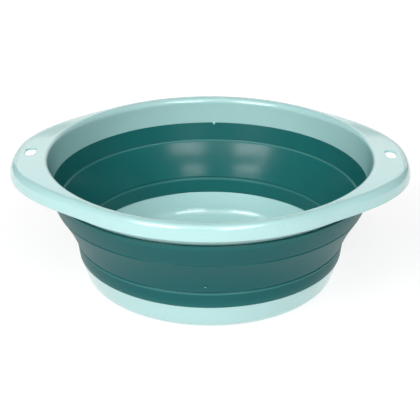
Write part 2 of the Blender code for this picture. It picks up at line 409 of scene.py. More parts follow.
@dataclass(frozen=True)
class Relief:
    """How deep a height from 0 to 1 stands, in metres, and how strongly it bends the normal."""

    depth: float
    strength: float


class Graph:
    """The node tree of a material or of the room, with short ways to add its nodes."""

    def __init__(self, owner: Union[bpy.types.Material, bpy.types.World], shader: str) -> None:
        """Open a node tree.

        Args:
            owner: The material or world that holds it.
            shader: The name of its shader node.
        """
        owner.use_nodes = True
        self.owner = owner
        self.tree = owner.node_tree
        self.shader = self.tree.nodes[shader]

    @classmethod
    def finish(cls, name: str) -> "Graph":
        """Start a material with its Principled shader alone."""
        return cls(bpy.data.materials.new(name), "Principled BSDF")

    def fill(self, node: bpy.types.Node, inputs: dict[Union[str, int], Value]) -> None:
        """Set a node's sockets to values, or link signals to them.

        Args:
            node: The node.
            inputs: The value or signal of each socket, by name or number.
        """
        for name, value in inputs.items():
            if isinstance(value, Signal):
                self.tree.links.new(value.socket, node.inputs[name])
            else:
                node.inputs[name].default_value = value

    def node(
        self,
        kind: str,
        settings: dict[str, object],
        inputs: dict[Union[str, int], Value],
        output: Union[str, int] = 0,
    ) -> Signal:
        """Add a node.

        Args:
            kind: The node's type.
            settings: Its properties, set before its sockets.
            inputs: The value or signal of each socket, by name or number.
            output: The output that is returned, by name or number.

        Returns:
            The output as a signal.
        """
        made = self.tree.nodes.new(kind)
        for name, setting in settings.items():
            setattr(made, name, setting)
        self.fill(made, inputs)
        return Signal(self, made.outputs[output])

    def place(self) -> Signal:
        """The point on the surface, in the object's own frame."""
        return self.node("ShaderNodeTexCoord", {}, {}, "Object")

    def rest_place(self) -> Signal:
        """The point on the surface, as stored on the mesh before it folds."""
        return self.node("ShaderNodeAttribute", {"attribute_name": REST_PLACE}, {}, "Vector")

    def split(self, vector: Signal) -> tuple[Signal, ...]:
        """The X, Y and Z of a vector."""
        outputs = self.node("ShaderNodeSeparateXYZ", {}, {0: vector}).socket.node.outputs
        return tuple(Signal(self, output) for output in outputs)

    def joined(self, x: Value, y: Value, z: Value) -> Signal:
        """A vector of three numbers."""
        return self.node("ShaderNodeCombineXYZ", {}, {0: x, 1: y, 2: z})

    def stretched(self, vector: Signal, factors: Triple) -> Signal:
        """A vector with each of its parts multiplied."""
        return self.node("ShaderNodeVectorMath", {"operation": "MULTIPLY"}, {0: vector, 1: factors})

    def distance(self, vector: Signal, place: Triple) -> Signal:
        """The distance from a place."""
        return self.node("ShaderNodeVectorMath", {"operation": "DISTANCE"}, {0: vector, 1: place}, "Value")

    def noise(self, vector: Signal, form: Noise) -> Signal:
        """Soft noise from 0 to 1."""
        inputs = {"Vector": vector, "Scale": form.scale, "Detail": form.detail, "Roughness": form.roughness}
        return self.node("ShaderNodeTexNoise", {}, inputs)

    def cells(self, vector: Signal, scale: float) -> Signal:
        """The distance from the middle of the nearest cell, with so many cells to the metre."""
        return self.node("ShaderNodeTexVoronoi", {}, {"Vector": vector, "Scale": scale})

    def mix(self, share: Value, first: Value, second: Value) -> Signal:
        """A colour between two others."""
        inputs = {0: share, 6: opaque(first), 7: opaque(second)}
        return self.node("ShaderNodeMix", {"data_type": "RGBA"}, inputs, 2)

    def bump(self, height: Signal, relief: Relief, below: Union[Signal, None] = None) -> Signal:
        """A normal that is bent by a height.

        Args:
            height: The height, from 0 to 1.
            relief: How deep and how strong it is.
            below: The normal that it bends, where that is bent already.

        Returns:
            The bent normal.
        """
        inputs = {"Height": height, "Distance": relief.depth, "Strength": relief.strength}
        if below is not None:
            inputs["Normal"] = below
        return self.node("ShaderNodeBump", {}, inputs)


def opaque(colour: Value) -> Value:
    """A colour with its fourth number, or a signal as it is."""
    return colour if isinstance(colour, Signal) else (*colour, 1.0)


class Spot:
    """The point on the surface that a finish works on, whole and as radius, angle and height."""

    def __init__(self, graph: Graph, place: Signal) -> None:
        """Start from the point as a vector."""
        self.graph, self.place = graph, place
        self.x, self.y, self.height = graph.split(place)

    @property
    def radius(self) -> Signal:
        """Distance from the Z axis."""
        return (self.x * self.x + self.y * self.y).root()

    @property
    def angle(self) -> Signal:
        """Angle round the Z axis."""
        return self.y.atan2(self.x)

    def noise(self, form: Noise) -> Signal:
        """Soft noise from 0 to 1 at the point."""
        return self.graph.noise(self.place, form)


# Finishes


@dataclass(frozen=True)
class MouldedPlastic:
    """Glossy pastel polypropylene: faint flow marks, fine ripple, hairline scuffs, rubbed edges.

    The base's floor, inside the texture's edge, has a moulded texture that leaves it duller.
    """

    top_z: float
    tone: Triple = (0.402, 0.643, 0.631)
    deep_tone: Triple = (0.386, 0.627, 0.615)
    scuff_tone: Triple = (0.480, 0.720, 0.700)
    haze: Noise = Noise(14.0, 3.0)
    grain: Noise = Noise(1400.0)
    ripple: Noise = Noise(120.0)
    flow: Noise = Noise(3.0, 4.0, 0.6)
    flow_waves: Triple = (9.0, 12.0, 10.0)
    flow_share: float = 0.45
    scuff_lines: Noise = Noise(900.0, 1.0)
    scuff_patches: Noise = Noise(45.0)
    scuff_stretches: tuple[Triple, ...] = ((1.0, 0.035, 0.4), (0.05, 1.0, 0.3))
    line_span: Span = (0.66, 0.72)
    patch_span: Span = (0.50, 0.68)
    scuff_share: float = 0.12
    rub: Noise = Noise(90.0, 4.0, 0.65)
    rub_share: float = 0.35
    foot_height: float = 0.0012
    foot_span: Span = (0.35, 0.62)
    crest_reach: float = 0.0004
    crest_span: Span = (0.52, 0.70)
    crest_share: float = 0.5
    texture_edge: float = 0.1000
    texture_fade: float = 0.0020
    texture_dulling: float = 0.75
    roughness: float = 0.23
    haze_roughness: float = 0.07
    grain_roughness: float = 0.05
    scuff_roughness: float = 0.06
    rub_roughness: float = 0.10
    texture_roughness: float = 0.16
    ripple_relief: Relief = Relief(0.00012, 0.5)
    grain_relief: Relief = Relief(0.000012, 0.6)
    scuff_relief: Relief = Relief(0.000006, 0.4)
    coat: float = 0.65
    coat_roughness: float = 0.06
    ior: float = 1.49

    def material(self) -> bpy.types.Material:
        """Make the finish.

        Returns:
            The finish as a material.
        """
        graph = Graph.finish("aqua_plastic_finish")
        spot = Spot(graph, graph.place())
        haze, grain, ripple = spot.noise(self.haze), spot.noise(self.grain), spot.noise(self.ripple)
        flow, scuffs, rubbed = self.flow_marks(spot), self.scuffs(spot), self.rubbed_edges(spot)
        texture = spot.radius.ramp(self.texture_edge, self.texture_edge - self.texture_fade)
        colour = graph.mix(haze * (1 - self.flow_share) + flow * self.flow_share, self.deep_tone, self.tone)
        colour = graph.mix(scuffs * self.scuff_share, colour, self.scuff_tone)
        colour = graph.mix(rubbed * self.rub_share, colour, self.scuff_tone)
        roughness = self.roughness + haze.swing(self.haze_roughness) + grain.swing(self.grain_roughness)
        roughness = roughness + scuffs * self.scuff_roughness + rubbed * self.rub_roughness
        normal = graph.bump(ripple, self.ripple_relief)
        normal = graph.bump(grain, self.grain_relief, normal)
        graph.fill(graph.shader, {
            "Base Color": colour,
            "Roughness": roughness + texture * self.texture_roughness,
            "Normal": graph.bump(scuffs, self.scuff_relief, normal),
            "Coat Weight": (1.0 - texture * self.texture_dulling) * self.coat,
            "Coat Roughness": self.coat_roughness,
            "IOR": self.ior,
        })
        return graph.owner

    def flow_marks(self, spot: Spot) -> Signal:
        """The faint marks that the plastic leaves as it fills the mould, from 0 to 1.

        Args:
            spot: The point on the surface.

        Returns:
            The marks as a signal.
        """
        around, outward, upward = self.flow_waves
        waves = spot.graph.joined(spot.angle * around, spot.radius * outward, spot.height * upward)
        return spot.graph.noise(waves, self.flow)

    def scuffs(self, spot: Spot) -> Signal:
        """Short hairline scratches in two directions, in patches, from 0 to 1.

        Args:
            spot: The point on the surface.

        Returns:
            The scratches as a signal.
        """
        total: Value = 0.0
        for factors in self.scuff_stretches:
            lines = spot.graph.noise(spot.graph.stretched(spot.place, factors), self.scuff_lines)
            patches = spot.graph.noise(spot.graph.stretched(spot.place, factors[::-1]), self.scuff_patches)
            total = lines.ramp(*self.line_span) * patches.ramp(*self.patch_span) + total
        return total

    def rubbed_edges(self, spot: Spot) -> Signal:
        """Where the foot and the mouth's crest are rubbed, from 0 to 1.

        Args:
            spot: The point on the surface.

        Returns:
            The rubbing as a signal.
        """
        patches = spot.noise(self.rub)
        foot = spot.height.ramp(self.foot_height, 0.0) * patches.ramp(*self.foot_span)
        crest = spot.height.ramp(self.top_z - self.crest_reach, self.top_z + self.crest_reach)
        return foot + crest * patches.ramp(*self.crest_span) * self.crest_share


@dataclass(frozen=True)
class MouldedRubber:
    """Satin teal rubber: fine grain, a thin bloom, paler from stress and creased at the fold lines.

    Its outer face has less coat and a painted shade, each groove's shoulder has a painted highlight, and the
    gate mark has a painted highlight on its tip in a painted shade ring.
    """

    folds: tuple[Point, Point]
    gate_tip: Triple
    tone: Triple = (0.0080, 0.118, 0.116)
    deep_tone: Triple = (0.0060, 0.106, 0.104)
    bloom_tone: Triple = (0.030, 0.153, 0.150)
    stress_tone: Triple = (0.038, 0.183, 0.177)
    # Painted highlight tone for the groove shoulders
    shoulder_highlight_tone: Triple = (0.065, 0.235, 0.228)
    # Painted shade tone of the wall's outer face
    outside_shade_tone: Triple = (0.0068, 0.096, 0.100)
    # Painted highlight on the gate's tip, and painted shade in a ring round it
    gate_highlight_tone: Triple = (0.20, 0.46, 0.44)
    gate_shade: Triple = (0.0050, 0.050, 0.052)
    haze: Noise = Noise(18.0, 3.0)
    grain: Noise = Noise(1500.0)
    cells_to_metre: float = 750.0
    bloom: Noise = Noise(34.0, 5.0, 0.62)
    bloom_span: Span = (0.45, 0.78)
    bloom_share: float = 0.05
    fold_reach: float = 0.0042
    fold_patches: Noise = Noise(60.0, 3.0)
    fold_span: Span = (0.15, 0.75)
    stress_share: float = 0.16
    crease: Noise = Noise(1.0)
    crease_waves: Span = (160.0, 120.0)
    outside_painted_share: float = 0.9
    outside_fade: float = 0.0006
    outside_dulling: float = 0.80
    shoulder_drops: Span = (0.0022, 0.0003)
    shoulder_reach: float = 0.0014
    shoulder_core_share: float = 0.3
    shoulder_fade: float = 0.0008
    inside_highlight_shares: Span = (0.42, 0.78)
    outside_highlight_shares: Span = (0.45, 0.10)
    gate_reach: float = 0.0013
    gate_core_share: float = 0.5
    gate_shade_reach: float = 0.0034
    gate_shade_share: float = 0.4
    roughness: float = 0.42
    haze_roughness: float = 0.06
    bloom_roughness: float = 0.03
    stress_gloss: float = 0.05
    cell_relief: Relief = Relief(0.00004, 0.35)
    grain_relief: Relief = Relief(0.00002, 0.5)
    crease_relief: Relief = Relief(0.00010, 0.5)
    specular_level: float = 0.14
    ior: float = 1.43
    coat: float = 0.36
    coat_roughness: float = 0.21

    def material(self) -> bpy.types.Material:
        """Make the finish.

        Returns:
            The finish as a material.
        """
        graph = Graph.finish("teal_rubber_finish")
        spot = Spot(graph, graph.rest_place())
        haze, grain = spot.noise(self.haze), spot.noise(self.grain)
        bloom = spot.noise(self.bloom).ramp(*self.bloom_span)
        stress, outside = self.stress(spot), self.outside(spot)
        colour = graph.mix(haze, self.deep_tone, self.tone)
        # Painted shade: the outer face is darkened to stand in for the shade it lies in
        colour = graph.mix(outside * self.outside_painted_share, colour, self.outside_shade_tone)
        colour = graph.mix(bloom * self.bloom_share, colour, self.bloom_tone)
        colour = graph.mix(stress * self.stress_share, colour, self.stress_tone)
        # Painted highlight along each groove's shoulder
        colour = graph.mix(self.painted_shoulder_highlights(spot), colour, self.shoulder_highlight_tone)
        roughness = self.roughness + haze.swing(self.haze_roughness) + bloom * self.bloom_roughness
        normal = graph.bump(graph.cells(spot.place, self.cells_to_metre), self.cell_relief)
        normal = graph.bump(grain, self.grain_relief, normal)
        graph.fill(graph.shader, {
            "Base Color": self.with_painted_gate_light(spot, colour),
            "Roughness": roughness - stress * self.stress_gloss,
            "Normal": graph.bump(self.creases(spot) * stress, self.crease_relief, normal),
            "IOR": self.ior,
            "Specular IOR Level": self.specular_level,
            "Coat Weight": (1.0 - outside * self.outside_dulling) * self.coat,
            "Coat Roughness": self.coat_roughness,
        })
        return graph.owner

    def with_painted_gate_light(self, spot: Spot, colour: Signal) -> Signal:
        """The colour with a painted highlight on the gate mark's tip and a painted shade ring round it.

        Args:
            spot: The point on the surface.
            colour: The colour without the mark.

        Returns:
            The colour with the mark.
        """
        gap = spot.graph.distance(spot.place, self.gate_tip)
        # Painted shade ring round the gate, then the painted highlight on its tip
        shade = gap.ramp(self.gate_shade_reach, self.gate_reach)
        tip = gap.ramp(self.gate_reach, self.gate_reach * self.gate_core_share)
        shaded = spot.graph.mix(shade * self.gate_shade_share, colour, self.gate_shade)
        return spot.graph.mix(tip, shaded, self.gate_highlight_tone)

    def stress(self, spot: Spot) -> Signal:
        """How near the surface is to a fold line, from 0 to 1, a little uneven along it.

        Args:
            spot: The point on the surface.

        Returns:
            The nearness as a signal.
        """
        total: Value = 0.0
        for _, fold_height in self.folds:
            total = abs(spot.height - fold_height).ramp(self.fold_reach, 0.0) + total
        return total * spot.noise(self.fold_patches).ramp(*self.fold_span)

    def outside(self, spot: Spot) -> Signal:
        """The wall's outer face, which gets less coat and a painted shade.

        Args:
            spot: The point on the surface.

        Returns:
            1 on the outer face and 0 on the inner one.
        """
        (low_radius, low_height), (high_radius, high_height) = self.folds
        slope = (high_radius - low_radius) / (high_height - low_height)
        middle = (spot.height - low_height).at_least(0.0) * slope + low_radius
        return (spot.radius - middle).ramp(-self.outside_fade, self.outside_fade)

    def painted_shoulder_highlights(self, spot: Spot) -> Signal:
        """The painted highlight on the shoulder below each groove, weaker on the outside.

        Args:
            spot: The point on the surface.

        Returns:
            The share of the shoulders' tone, from 0 to 1.
        """
        radius, total = spot.radius, 0.0
        core = self.shoulder_reach * self.shoulder_core_share
        shares = zip(self.folds, self.shoulder_drops, self.inside_highlight_shares, self.outside_highlight_shares)
        for (fold_radius, fold_height), drop, inside_highlight_share, outside_painted_share in shares:
            band = abs(spot.height - (fold_height - drop)).ramp(self.shoulder_reach, core)
            inside = (radius - fold_radius).ramp(self.shoulder_fade, -self.shoulder_fade)
            total = band * (inside * (inside_highlight_share - outside_painted_share) + outside_painted_share) + total
        return total

    def creases(self, spot: Spot) -> Signal:
        """Fine upright creases, close together round the wall, from 0 to 1."""
        waves = [part * factor for part, factor in zip((spot.angle, spot.height), self.crease_waves)]
        return spot.graph.noise(spot.graph.joined(*waves, 0.0), self.crease)


# Sub-assemblies


@dataclass(frozen=True)
class Levels:
    """Heights and radii that the base, the wall and the rim share."""

    base_bottom_radius: float = 0.1160
    base_fillet: float = 0.0165
    base_height: float = 0.0278
    base_lean: float = math.radians(17)
    base_wall: float = 0.0022
    lower_band_height: float = 0.0179
    lower_band_flare: float = 0.0020
    middle_band_height: float = 0.0388
    middle_band_flare: float = 0.0196
    upper_band_height: float = 0.0191
    upper_band_flare: float = 0.0062
    band_wall: float = 0.0036
    collar_wall: float = 0.0024
    collar_lean: float = math.radians(8)
    lap_height: float = 0.0053
    tongue_wall: float = 0.0010
    tongue_height: float = 0.0060
    clearance: float = 0.0003

    @property
    def base_wall_level(self) -> float:
        """The base wall's thickness, measured level."""
        return self.base_wall / math.cos(self.base_lean)

    @property
    def base_corner(self) -> float:
        """Radius where the base's straight side would meet the ground."""
        return self.base_bottom_radius + self.base_fillet * math.tan((QUARTER - self.base_lean) / 2)

    @property
    def base_seam_outer(self) -> float:
        """Outer radius of the base at its seam."""
        return self.base_corner + self.base_height * math.tan(self.base_lean)

    @property
    def base_seam_middle(self) -> float:
        """Middle radius of the base wall at its seam."""
        return self.base_seam_outer - self.base_wall_level / 2

    @property
    def lower_hinge(self) -> Point:
        """Radius and height of the lower fold line."""
        return self.base_seam_middle + self.lower_band_flare, self.base_height + self.lower_band_height

    @property
    def upper_hinge(self) -> Point:
        """Radius and height of the upper fold line."""
        radius, height = self.lower_hinge
        return radius + self.middle_band_flare, height + self.middle_band_height

    @property
    def lower_slope(self) -> float:
        """The lower band's flare as a share of its height."""
        return self.lower_band_flare / self.lower_band_height

    @property
    def middle_slope(self) -> float:
        """The middle band's flare as a share of its height."""
        return self.middle_band_flare / self.middle_band_height

    @property
    def upper_slope(self) -> float:
        """The upper band's flare as a share of its height."""
        return self.upper_band_flare / self.upper_band_height

    @property
    def collar_seam(self) -> Point:
        """Inner radius and height of the seam between wall and collar."""
        radius, height = self.upper_hinge
        return radius - self.band_wall / 2 + self.upper_band_flare, height + self.upper_band_height

    @property
    def collar_wall_level(self) -> float:
        """The collar's thickness, measured level."""
        return self.collar_wall / math.cos(self.collar_lean)

    @property
    def lap_top(self) -> float:
        """Height to which the rubber laps up the collar."""
        return self.collar_seam[1] + self.lap_height

    @property
    def lap_shift(self) -> float:
        """How far the collar's outer face leans out over the lap's height."""
        return self.lap_height * math.tan(self.collar_lean)

    def tongue(self, middle: float, clearance: float) -> Point:
        """Inner and outer radius of a tongue round its middle radius."""
        half = self.tongue_wall / 2 + clearance
        return middle - half, middle + half

    def base_tongue(self, height: float, clearance: float = 0.0) -> Point:
        """Inner and outer radius of the base's tongue at a height."""
        middle = self.base_seam_middle + (height - self.base_height) * self.lower_slope
        return self.tongue(middle, clearance)

    def rim_tongue(self, height: float, clearance: float = 0.0) -> Point:
        """Inner and outer radius of the rim's tongue at a height."""
        inward = (self.collar_seam[1] - height) * self.upper_slope
        return self.tongue(self.collar_seam[0] + self.collar_wall_level / 2 - inward, clearance)


@dataclass
class BaseBowl:
    """The rigid base: raised floor, ring that it stands on, rounded side and tongue."""

    levels: Levels
    foot_width: float = 0.0065
    floor_rise: float = 0.0018
    floor_step: float = 0.0030
    step_fillet: float = 0.0022
    edge_fillet: float = 0.0003
    gate_radius: float = 0.0045
    gate_height: float = 0.0006
    segments: int = 288
    step_length: float = 0.0022

    def section(self) -> Section:
        """The base's open section.

        Returns:
            Points from the floor's middle, round the wall, to the gate mark in the middle of the underside.
        """
        at = self.levels
        seam, top = at.base_height, at.base_height + at.tongue_height
        foot_inner = at.base_bottom_radius - self.foot_width
        floor_edge = foot_inner - self.floor_step
        inner_fillet = at.base_fillet - at.base_wall
        inner_corner = at.base_bottom_radius + inner_fillet * math.tan((QUARTER - at.base_lean) / 2)
        inner_seam = at.base_seam_outer - at.base_wall_level
        low, high = at.base_tongue(seam), at.base_tongue(top)
        corners = [
            (0, self.floor_rise + at.base_wall, 0),
            (floor_edge, self.floor_rise + at.base_wall, self.step_fillet),
            (foot_inner, at.base_wall, self.step_fillet),
            (inner_corner, at.base_wall, inner_fillet),
            (inner_seam, seam, self.edge_fillet),
            (low[0], seam, 0),
            (high[0], top, 0),
            (high[1], top, 0),
            (low[1], seam, 0),
            (at.base_seam_outer, seam, self.edge_fillet),
            (at.base_corner, 0, at.base_fillet),
            (foot_inner, 0, self.edge_fillet),
            (floor_edge, self.floor_rise, self.step_fillet),
            (self.gate_radius, self.floor_rise, self.edge_fillet),
            (self.gate_radius, self.floor_rise - self.gate_height, self.edge_fillet),
            (0, self.floor_rise - self.gate_height, 0),
        ]
        return rounded(corners, self.step_length, closed=False)

    def build(self) -> bpy.types.Object:
        """Make the base.

        Returns:
            The base as an object.
        """
        skin = Skin()
        skin.turn(self.section(), self.segments, closed=False)
        return skin.finish("base")

    def dress(self, piece: bpy.types.Object, finish: MouldedPlastic) -> None:
        """Give the base its finish and its body.

        Args:
            piece: The base.
            finish: The plastic.
        """
        piece.data.materials.append(finish.material())
        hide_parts("base_bowl")
        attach(piece, Body.BASE.value)


@dataclass
class FoldWall:
    """The rubber wall in one piece: three thick bands and two thin fold lines."""

    levels: Levels
    bow: float = 0.0013
    bow_steps: int = 12
    web_wall: float = 0.0014
    web_height: float = 0.0013
    shoulder_height: float = 0.0010
    shoulder_fillet: float = 0.0005
    groove_fillet: float = 0.0004
    band_fillet: float = 0.0006
    lip_step: float = 0.0004
    lip_fillet: float = 0.0002
    lap_wall: float = 0.0026
    lap_fillet: float = 0.0010
    gate: Dome = Dome(radius=0.0012, height=0.0014)
    gate_offset: float = -0.0019
    gate_rise: float = 0.0085
    blend_reach: float = 0.0060
    segments: int = 288
    step_length: float = 0.0020

    def groove(self, hinge: Point, side: Face) -> list[Triple]:
        """One side of a fold line, from the band below it to the band above it.

        Args:
            hinge: Radius and height of the fold line.
            side: The wall's inner or outer face.

        Returns:
            Radius, height and fillet of each corner, going up.
        """
        radius, height = hinge
        face, web = side.value * self.levels.band_wall / 2, side.value * self.web_wall / 2
        half, above = self.web_height / 2, self.levels.middle_slope
        below = above if height > self.levels.lower_hinge[1] else self.levels.lower_slope
        reach = half + self.shoulder_height
        return [
            (radius + face - below * reach, height - reach, self.shoulder_fillet),
            (radius + web - below * half, height - half, self.groove_fillet),
            (radius + web + above * half, height + half, self.groove_fillet),
            (radius + face + above * half, height + half, self.band_fillet),
        ]

    def bowed(self, side: Face) -> list[Triple]:
        """The middle band's bowed face between its two ends.

        Args:
            side: The wall's inner or outer face.

        Returns:
            Radius, height and no fillet for each point, going up.
        """
        (low_radius, low_z), (_, high_z) = self.levels.lower_hinge, self.levels.upper_hinge
        start = low_z + self.web_height / 2
        end = high_z - self.web_height / 2 - self.shoulder_height
        points = []
        for step in range(1, self.bow_steps):
            share = step / self.bow_steps
            height = start + (end - start) * share
            middle = low_radius + (height - low_z) * self.levels.middle_slope
            face = middle + side.value * self.levels.band_wall / 2
            points.append((face - self.bow * math.sin(math.pi * share), height, 0.0))
        return points

    def section(self) -> Section:
        """The wall's closed section.

        Returns:
            Points up its inner face, round the collar's lap and down its outer face.
        """
        at = self.levels
        seam = at.base_height + at.clearance
        top_radius, top_z = at.collar_seam
        top_seam = top_z - at.clearance
        slot_top = at.base_height + at.tongue_height + at.clearance
        slot_bottom = top_z - at.tongue_height - at.clearance
        collar_face = top_radius + at.collar_wall_level + at.clearance
        face_high = collar_face + at.lap_shift
        low_slot, high_slot = at.base_tongue(seam, at.clearance), at.base_tongue(slot_top, at.clearance)
        top_slot, deep_slot = at.rim_tongue(top_seam, at.clearance), at.rim_tongue(slot_bottom, at.clearance)
        inner_low = at.base_seam_outer - at.base_wall_level - self.lip_step
        outer_low = at.base_seam_outer + self.lip_step
        up_inside = [
            (low_slot[0], seam, 0),
            (inner_low, seam, self.lip_fillet),
            *self.groove(at.lower_hinge, Face.INNER),
            *self.bowed(Face.INNER),
            *self.groove(at.upper_hinge, Face.INNER),
            (top_radius - self.lip_step, top_seam, self.lip_fillet),
        ]
        lap = [
            (top_slot[0], top_seam, 0),
            (deep_slot[0], slot_bottom, 0),
            (deep_slot[1], slot_bottom, 0),
            (top_slot[1], top_seam, 0),
            (collar_face, top_seam, 0),
            (face_high, at.lap_top, 0),
            (face_high + self.lap_wall, at.lap_top, self.lap_fillet),
            (collar_face + self.lap_wall, top_seam, self.lap_fillet),
        ]
        up_outside = [
            (outer_low, seam, self.lip_fillet),
            *self.groove(at.lower_hinge, Face.OUTER),
            *self.bowed(Face.OUTER),
            *self.groove(at.upper_hinge, Face.OUTER),
        ]
        slot = [(low_slot[1], seam, 0), (high_slot[1], slot_top, 0), (high_slot[0], slot_top, 0)]
        return rounded(up_inside + lap + up_outside[::-1] + slot, self.step_length)

    def gate_place(self) -> tuple[Vector, Vector]:
        """Where the mould's gate has left its stub, low on the outside of the middle band.

        Returns:
            The middle of its foot, and the direction out of the wall there.
        """
        at = self.levels
        radius, height = at.lower_hinge
        bow = self.bow * math.sin(math.pi * self.gate_rise / at.middle_band_height)
        face = radius + at.middle_slope * self.gate_rise + at.band_wall / 2 - bow
        angle = math.asin(self.gate_offset / face)
        foot = Vector((math.sin(angle) * face, -math.cos(angle) * face, height + self.gate_rise))
        return foot, Vector((math.sin(angle), -math.cos(angle), -at.middle_slope)).normalized()

    @property
    def gate_tip(self) -> Triple:
        """The outermost point of the gate's stub."""
        foot, out = self.gate_place()
        return tuple(foot + out * self.gate.height)

    def build(self) -> bpy.types.Object:
        """Make the wall, with the gate mark on its front.

        Returns:
            The wall as an object.
        """
        skin = Skin()
        skin.turn(self.section(), self.segments)
        skin.dome(*self.gate_place(), self.gate)
        piece = skin.finish("fold_wall")
        keep_rest_place(piece)
        return piece

    def dress(self, piece: bpy.types.Object, finish: MouldedRubber) -> None:
        """Give the wall its finish, hide the imported fold pieces, and bake its placement into the mesh.

        Args:
            piece: The wall.
            finish: The rubber.
        """
        piece.data.materials.append(finish.material())
        nodes = ("lower_band", "lower_hinge", "middle_band", "upper_hinge", "upper_band")
        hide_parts(*(f"fold_{node}" for node in nodes))
        start = (0, 0, self.levels.lower_hinge[1] - self.blend_reach)
        end = (0, 0, self.levels.upper_hinge[1] + self.blend_reach)
        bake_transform(piece)


@dataclass(frozen=True)
class RimForm:
    """The sizes of the rim's section at one place round it."""

    collar_lean: float
    crest_radius: float
    land_width: float
    land_drop: float
    roll_radius: float
    depth: float

    def towards(self, other: "RimForm", share: float) -> "RimForm":
        """This form with each of its sizes gone by a share towards another form's."""
        pairs = zip(astuple(self), astuple(other))
        return RimForm(*(here + (there - here) * share for here, there in pairs))


